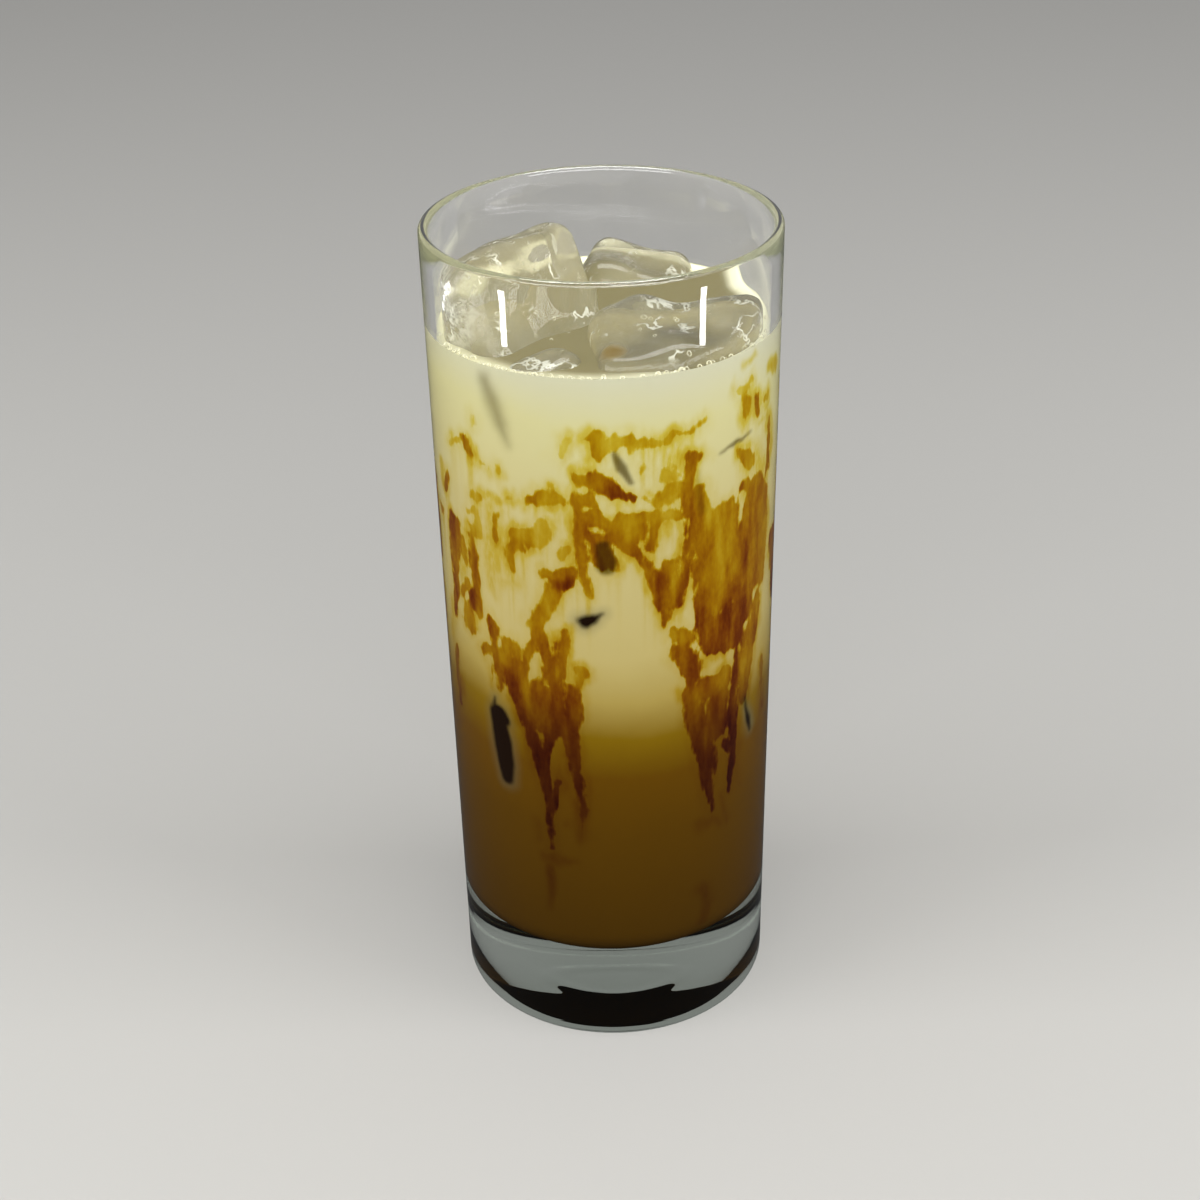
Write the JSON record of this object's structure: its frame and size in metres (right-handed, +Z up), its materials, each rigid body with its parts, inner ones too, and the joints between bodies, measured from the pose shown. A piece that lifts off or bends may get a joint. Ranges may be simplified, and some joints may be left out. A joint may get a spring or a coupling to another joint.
{
  "type": "iced latte in a tall glass",
  "caption": "Tall clear straight-sided drinking glass filled with an iced latte: pale milk standing over brown coffee, with blocks of ice breaking the surface.",
  "frame": {"origin": "centre of the glass's foot, on the surface that it stands on", "axes": "+Z up along the glass's axis, -Y towards the front, where the taller ice block leans to the left (-X)"},
  "size_m": [0.065, 0.065, 0.16],
  "materials": {
    "clear_glass": "clear pressed glass, smooth and fire-polished",
    "coffee": "opaque brown coffee with milk and streaks of caramel",
    "milk": "opaque cream-coloured milk with streaks of caramel",
    "ice": "clear wet ice with bubbles and cracks"
  },
  "bodies": {
    "root": {"glass": "clear_glass", "coffee_layer": "coffee", "milk_layer": "milk", "ice_left": "ice", "ice_right": "ice", "ice_back": "ice", "ice_front": "ice"}
  },
  "joints": []
}
